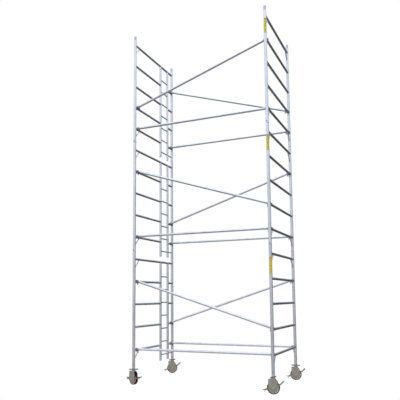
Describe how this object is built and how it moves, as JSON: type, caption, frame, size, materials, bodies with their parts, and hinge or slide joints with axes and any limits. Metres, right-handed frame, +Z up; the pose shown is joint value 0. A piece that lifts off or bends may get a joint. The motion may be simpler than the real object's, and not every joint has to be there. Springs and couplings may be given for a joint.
{
  "type": "mobile scaffold tower",
  "caption": "Mobile aluminium scaffold tower of stacked end frames, some with a built-in ladder, clip-on braces, screw jacks and braked swivel casters.",
  "frame": {"origin": "on the floor, midway between the four swivel axes", "axes": "+Z up along the legs; +X from the ladder frames to the plain frames, along the braces; +Y from the front to the rear legs, along the rungs"},
  "size_m": [2.8399, 1.7, 6.345],
  "materials": {
    "frame_tube": "mill finish, drawn tube",
    "ladder_tube": "mill finish, drawn tube",
    "spigot": "mill finish",
    "clip_wire": "zinc plated spring wire",
    "brace_tube": "mill finish, drawn tube",
    "claw_casting": "as cast, tumbled",
    "rail_trigger": "yellow passivated zinc plating",
    "diagonal_trigger": "dark blue-black plating",
    "jack_screw": "zinc plated, rolled thread",
    "jack_nut": "zinc plated casting",
    "fork_plating": "olive tinted zinc plating",
    "wheel_core": "painted casting",
    "wheel_tread": "moulded polyurethane",
    "pedal_plating": "zinc plated pressing"
  },
  "bodies": {
    "tower": {"ladder_frame_1": "frame_tube", "ladder_frame_2": "frame_tube", "ladder_frame_3": "frame_tube", "plain_frame_1": "frame_tube", "plain_frame_2": "frame_tube", "plain_frame_3": "frame_tube", "frame_ladders": "ladder_tube", "leg_spigots": "spigot", "interlock_clips": "clip_wire", "brace_rails": "brace_tube", "brace_diagonals": "brace_tube", "brace_claws": "claw_casting"},
    "nut_front_left": {"jack_nut_front_left": "jack_nut"},
    "jack_front_left": {"jack_screw_front_left": "jack_screw"},
    "caster_front_left": {"caster_fork_front_left": "fork_plating"},
    "wheel_front_left": {"wheel_rim_front_left": "wheel_core", "wheel_tread_front_left": "wheel_tread"},
    "pedal_front_left": {"brake_pedal_front_left": "pedal_plating"},
    "nut_rear_left": {"jack_nut_rear_left": "jack_nut"},
    "jack_rear_left": {"jack_screw_rear_left": "jack_screw"},
    "caster_rear_left": {"caster_fork_rear_left": "fork_plating"},
    "wheel_rear_left": {"wheel_rim_rear_left": "wheel_core", "wheel_tread_rear_left": "wheel_tread"},
    "pedal_rear_left": {"brake_pedal_rear_left": "pedal_plating"},
    "nut_front_right": {"jack_nut_front_right": "jack_nut"},
    "jack_front_right": {"jack_screw_front_right": "jack_screw"},
    "caster_front_right": {"caster_fork_front_right": "fork_plating"},
    "wheel_front_right": {"wheel_rim_front_right": "wheel_core", "wheel_tread_front_right": "wheel_tread"},
    "pedal_front_right": {"brake_pedal_front_right": "pedal_plating"},
    "nut_rear_right": {"jack_nut_rear_right": "jack_nut"},
    "jack_rear_right": {"jack_screw_rear_right": "jack_screw"},
    "caster_rear_right": {"caster_fork_rear_right": "fork_plating"},
    "wheel_rear_right": {"wheel_rim_rear_right": "wheel_core", "wheel_tread_rear_right": "wheel_tread"},
    "pedal_rear_right": {"brake_pedal_rear_right": "pedal_plating"},
    "trigger_front_rail_1_left": {"latch_front_rail_1_left": "rail_trigger"},
    "trigger_front_rail_1_right": {"latch_front_rail_1_right": "rail_trigger"},
    "trigger_rear_rail_1_left": {"latch_rear_rail_1_left": "rail_trigger"},
    "trigger_rear_rail_1_right": {"latch_rear_rail_1_right": "rail_trigger"},
    "trigger_front_diagonal_1_left": {"latch_front_diagonal_1_left": "diagonal_trigger"},
    "trigger_front_diagonal_1_right": {"latch_front_diagonal_1_right": "diagonal_trigger"},
    "trigger_rear_diagonal_1_left": {"latch_rear_diagonal_1_left": "diagonal_trigger"},
    "trigger_rear_diagonal_1_right": {"latch_rear_diagonal_1_right": "diagonal_trigger"},
    "trigger_front_rail_2_left": {"latch_front_rail_2_left": "rail_trigger"},
    "trigger_front_rail_2_right": {"latch_front_rail_2_right": "rail_trigger"},
    "trigger_rear_rail_2_left": {"latch_rear_rail_2_left": "rail_trigger"},
    "trigger_rear_rail_2_right": {"latch_rear_rail_2_right": "rail_trigger"},
    "trigger_front_diagonal_2_left": {"latch_front_diagonal_2_left": "diagonal_trigger"},
    "trigger_front_diagonal_2_right": {"latch_front_diagonal_2_right": "diagonal_trigger"},
    "trigger_rear_diagonal_2_left": {"latch_rear_diagonal_2_left": "diagonal_trigger"},
    "trigger_rear_diagonal_2_right": {"latch_rear_diagonal_2_right": "diagonal_trigger"},
    "trigger_front_rail_3_left": {"latch_front_rail_3_left": "rail_trigger"},
    "trigger_front_rail_3_right": {"latch_front_rail_3_right": "rail_trigger"},
    "trigger_rear_rail_3_left": {"latch_rear_rail_3_left": "rail_trigger"},
    "trigger_rear_rail_3_right": {"latch_rear_rail_3_right": "rail_trigger"},
    "trigger_front_diagonal_3_left": {"latch_front_diagonal_3_left": "diagonal_trigger"},
    "trigger_front_diagonal_3_right": {"latch_front_diagonal_3_right": "diagonal_trigger"},
    "trigger_rear_diagonal_3_left": {"latch_rear_diagonal_3_left": "diagonal_trigger"},
    "trigger_rear_diagonal_3_right": {"latch_rear_diagonal_3_right": "diagonal_trigger"}
  },
  "joints": [
    {"name": "nut_turn_front_left", "type": "hinge", "parent": "tower", "child": "nut_front_left", "pos_m": [-1.25, -0.75, 0.26], "axis": [0, 0, 1], "range_deg": [0, 9000]},
    {"name": "jack_travel_front_left", "type": "slide", "parent": "tower", "child": "jack_front_left", "axis": [0, 0, -1], "range_m": [0, 0.2005]},
    {"name": "swivel_front_left", "type": "hinge", "parent": "jack_front_left", "child": "caster_front_left", "pos_m": [-1.25, -0.75, 0.1], "axis": [0, 0, 1], "continuous": true},
    {"name": "wheel_roll_front_left", "type": "hinge", "parent": "caster_front_left", "child": "wheel_front_left", "pos_m": [-1.25, -0.75, 0.1], "axis": [0.3584, 0.9336, 0], "continuous": true},
    {"name": "brake_front_left", "type": "hinge", "parent": "caster_front_left", "child": "pedal_front_left", "pos_m": [-1.25, -0.75, 0.1], "axis": [0.3584, 0.9336, 0], "range_deg": [-17, 0]},
    {"name": "nut_turn_rear_left", "type": "hinge", "parent": "tower", "child": "nut_rear_left", "pos_m": [-1.25, 0.75, 0.26], "axis": [0, 0, 1], "range_deg": [0, 9000]},
    {"name": "jack_travel_rear_left", "type": "slide", "parent": "tower", "child": "jack_rear_left", "axis": [0, 0, -1], "range_m": [0, 0.2005]},
    {"name": "swivel_rear_left", "type": "hinge", "parent": "jack_rear_left", "child": "caster_rear_left", "pos_m": [-1.25, 0.75, 0.1], "axis": [0, 0, 1], "continuous": true},
    {"name": "wheel_roll_rear_left", "type": "hinge", "parent": "caster_rear_left", "child": "wheel_rear_left", "pos_m": [-1.25, 0.75, 0.1], "axis": [-0.454, 0.891, 0], "continuous": true},
    {"name": "brake_rear_left", "type": "hinge", "parent": "caster_rear_left", "child": "pedal_rear_left", "pos_m": [-1.25, 0.75, 0.1], "axis": [-0.454, 0.891, 0], "range_deg": [0, 17]},
    {"name": "nut_turn_front_right", "type": "hinge", "parent": "tower", "child": "nut_front_right", "pos_m": [1.25, -0.75, 0.26], "axis": [0, 0, 1], "range_deg": [0, 9000]},
    {"name": "jack_travel_front_right", "type": "slide", "parent": "tower", "child": "jack_front_right", "axis": [0, 0, -1], "range_m": [0, 0.2005]},
    {"name": "swivel_front_right", "type": "hinge", "parent": "jack_front_right", "child": "caster_front_right", "pos_m": [1.25, -0.75, 0.1], "axis": [0, 0, 1], "continuous": true},
    {"name": "wheel_roll_front_right", "type": "hinge", "parent": "caster_front_right", "child": "wheel_front_right", "pos_m": [1.25, -0.75, 0.1], "axis": [-0.1564, 0.9877, 0], "continuous": true},
    {"name": "brake_front_right", "type": "hinge", "parent": "caster_front_right", "child": "pedal_front_right", "pos_m": [1.25, -0.75, 0.1], "axis": [-0.1564, 0.9877, 0], "range_deg": [0, 17]},
    {"name": "nut_turn_rear_right", "type": "hinge", "parent": "tower", "child": "nut_rear_right", "pos_m": [1.25, 0.75, 0.26], "axis": [0, 0, 1], "range_deg": [0, 9000]},
    {"name": "jack_travel_rear_right", "type": "slide", "parent": "tower", "child": "jack_rear_right", "axis": [0, 0, -1], "range_m": [0, 0.2005]},
    {"name": "swivel_rear_right", "type": "hinge", "parent": "jack_rear_right", "child": "caster_rear_right", "pos_m": [1.25, 0.75, 0.1], "axis": [0, 0, 1], "continuous": true},
    {"name": "wheel_roll_rear_right", "type": "hinge", "parent": "caster_rear_right", "child": "wheel_rear_right", "pos_m": [1.25, 0.75, 0.1], "axis": [-0.225, 0.9744, 0], "continuous": true},
    {"name": "brake_rear_right", "type": "hinge", "parent": "caster_rear_right", "child": "pedal_rear_right", "pos_m": [1.25, 0.75, 0.1], "axis": [-0.225, 0.9744, 0], "range_deg": [0, 17]},
    {"name": "trigger_front_rail_1_left", "type": "hinge", "parent": "tower", "child": "trigger_front_rail_1_left", "pos_m": [-1.217, -0.675, 0.571], "axis": [0, -1, 0], "range_deg": [0, 40], "stiffness_Nm_per_rad": 0.15, "springref_deg": -20.05},
    {"name": "trigger_front_rail_1_right", "type": "hinge", "parent": "tower", "child": "trigger_front_rail_1_right", "pos_m": [1.217, -0.675, 0.571], "axis": [0, 1, 0], "range_deg": [0, 40], "stiffness_Nm_per_rad": 0.15, "springref_deg": -20.05},
    {"name": "trigger_rear_rail_1_left", "type": "hinge", "parent": "tower", "child": "trigger_rear_rail_1_left", "pos_m": [-1.217, 0.675, 0.571], "axis": [0, -1, 0], "range_deg": [0, 40], "stiffness_Nm_per_rad": 0.15, "springref_deg": -20.05},
    {"name": "trigger_rear_rail_1_right", "type": "hinge", "parent": "tower", "child": "trigger_rear_rail_1_right", "pos_m": [1.217, 0.675, 0.571], "axis": [0, 1, 0], "range_deg": [0, 40], "stiffness_Nm_per_rad": 0.15, "springref_deg": -20.05},
    {"name": "trigger_front_diagonal_1_left", "type": "hinge", "parent": "tower", "child": "trigger_front_diagonal_1_left", "pos_m": [-1.22284, -0.675, 1.76161], "axis": [0, -1, 0], "range_deg": [0, 40], "stiffness_Nm_per_rad": 0.15, "springref_deg": -20.05},
    {"name": "trigger_front_diagonal_1_right", "type": "hinge", "parent": "tower", "child": "trigger_front_diagonal_1_right", "pos_m": [1.2143, -0.675, 0.98172], "axis": [0, 1, 0], "range_deg": [0, 40], "stiffness_Nm_per_rad": 0.15, "springref_deg": -20.05},
    {"name": "trigger_rear_diagonal_1_left", "type": "hinge", "parent": "tower", "child": "trigger_rear_diagonal_1_left", "pos_m": [-1.2143, 0.675, 0.98172], "axis": [0, -1, 0], "range_deg": [0, 40], "stiffness_Nm_per_rad": 0.15, "springref_deg": -20.05},
    {"name": "trigger_rear_diagonal_1_right", "type": "hinge", "parent": "tower", "child": "trigger_rear_diagonal_1_right", "pos_m": [1.22284, 0.675, 1.76161], "axis": [0, 1, 0], "range_deg": [0, 40], "stiffness_Nm_per_rad": 0.15, "springref_deg": -20.05},
    {"name": "trigger_front_rail_2_left", "type": "hinge", "parent": "tower", "child": "trigger_front_rail_2_left", "pos_m": [-1.217, -0.675, 2.571], "axis": [0, -1, 0], "range_deg": [0, 40], "stiffness_Nm_per_rad": 0.15, "springref_deg": -20.05},
    {"name": "trigger_front_rail_2_right", "type": "hinge", "parent": "tower", "child": "trigger_front_rail_2_right", "pos_m": [1.217, -0.675, 2.571], "axis": [0, 1, 0], "range_deg": [0, 40], "stiffness_Nm_per_rad": 0.15, "springref_deg": -20.05},
    {"name": "trigger_rear_rail_2_left", "type": "hinge", "parent": "tower", "child": "trigger_rear_rail_2_left", "pos_m": [-1.217, 0.675, 2.571], "axis": [0, -1, 0], "range_deg": [0, 40], "stiffness_Nm_per_rad": 0.15, "springref_deg": -20.05},
    {"name": "trigger_rear_rail_2_right", "type": "hinge", "parent": "tower", "child": "trigger_rear_rail_2_right", "pos_m": [1.217, 0.675, 2.571], "axis": [0, 1, 0], "range_deg": [0, 40], "stiffness_Nm_per_rad": 0.15, "springref_deg": -20.05},
    {"name": "trigger_front_diagonal_2_left", "type": "hinge", "parent": "tower", "child": "trigger_front_diagonal_2_left", "pos_m": [-1.22284, -0.675, 3.76161], "axis": [0, -1, 0], "range_deg": [0, 40], "stiffness_Nm_per_rad": 0.15, "springref_deg": -20.05},
    {"name": "trigger_front_diagonal_2_right", "type": "hinge", "parent": "tower", "child": "trigger_front_diagonal_2_right", "pos_m": [1.2143, -0.675, 2.98172], "axis": [0, 1, 0], "range_deg": [0, 40], "stiffness_Nm_per_rad": 0.15, "springref_deg": -20.05},
    {"name": "trigger_rear_diagonal_2_left", "type": "hinge", "parent": "tower", "child": "trigger_rear_diagonal_2_left", "pos_m": [-1.2143, 0.675, 2.98172], "axis": [0, -1, 0], "range_deg": [0, 40], "stiffness_Nm_per_rad": 0.15, "springref_deg": -20.05},
    {"name": "trigger_rear_diagonal_2_right", "type": "hinge", "parent": "tower", "child": "trigger_rear_diagonal_2_right", "pos_m": [1.22284, 0.675, 3.76161], "axis": [0, 1, 0], "range_deg": [0, 40], "stiffness_Nm_per_rad": 0.15, "springref_deg": -20.05},
    {"name": "trigger_front_rail_3_left", "type": "hinge", "parent": "tower", "child": "trigger_front_rail_3_left", "pos_m": [-1.217, -0.675, 4.571], "axis": [0, -1, 0], "range_deg": [0, 40], "stiffness_Nm_per_rad": 0.15, "springref_deg": -20.05},
    {"name": "trigger_front_rail_3_right", "type": "hinge", "parent": "tower", "child": "trigger_front_rail_3_right", "pos_m": [1.217, -0.675, 4.571], "axis": [0, 1, 0], "range_deg": [0, 40], "stiffness_Nm_per_rad": 0.15, "springref_deg": -20.05},
    {"name": "trigger_rear_rail_3_left", "type": "hinge", "parent": "tower", "child": "trigger_rear_rail_3_left", "pos_m": [-1.217, 0.675, 4.571], "axis": [0, -1, 0], "range_deg": [0, 40], "stiffness_Nm_per_rad": 0.15, "springref_deg": -20.05},
    {"name": "trigger_rear_rail_3_right", "type": "hinge", "parent": "tower", "child": "trigger_rear_rail_3_right", "pos_m": [1.217, 0.675, 4.571], "axis": [0, 1, 0], "range_deg": [0, 40], "stiffness_Nm_per_rad": 0.15, "springref_deg": -20.05},
    {"name": "trigger_front_diagonal_3_left", "type": "hinge", "parent": "tower", "child": "trigger_front_diagonal_3_left", "pos_m": [-1.2143, -0.675, 4.98172], "axis": [0, -1, 0], "range_deg": [0, 40], "stiffness_Nm_per_rad": 0.15, "springref_deg": -20.05},
    {"name": "trigger_front_diagonal_3_right", "type": "hinge", "parent": "tower", "child": "trigger_front_diagonal_3_right", "pos_m": [1.22284, -0.675, 5.76161], "axis": [0, 1, 0], "range_deg": [0, 40], "stiffness_Nm_per_rad": 0.15, "springref_deg": -20.05},
    {"name": "trigger_rear_diagonal_3_left", "type": "hinge", "parent": "tower", "child": "trigger_rear_diagonal_3_left", "pos_m": [-1.22284, 0.675, 5.76161], "axis": [0, -1, 0], "range_deg": [0, 40], "stiffness_Nm_per_rad": 0.15, "springref_deg": -20.05},
    {"name": "trigger_rear_diagonal_3_right", "type": "hinge", "parent": "tower", "child": "trigger_rear_diagonal_3_right", "pos_m": [1.2143, 0.675, 4.98172], "axis": [0, 1, 0], "range_deg": [0, 40], "stiffness_Nm_per_rad": 0.15, "springref_deg": -20.05}
  ],
  "couplings": [
    {"joint": "jack_travel_front_left", "follows": "nut_turn_front_left", "m_per_rad": 0.0012732},
    {"joint": "jack_travel_rear_left", "follows": "nut_turn_rear_left", "m_per_rad": 0.0012732},
    {"joint": "jack_travel_front_right", "follows": "nut_turn_front_right", "m_per_rad": 0.0012732},
    {"joint": "jack_travel_rear_right", "follows": "nut_turn_rear_right", "m_per_rad": 0.0012732}
  ]
}
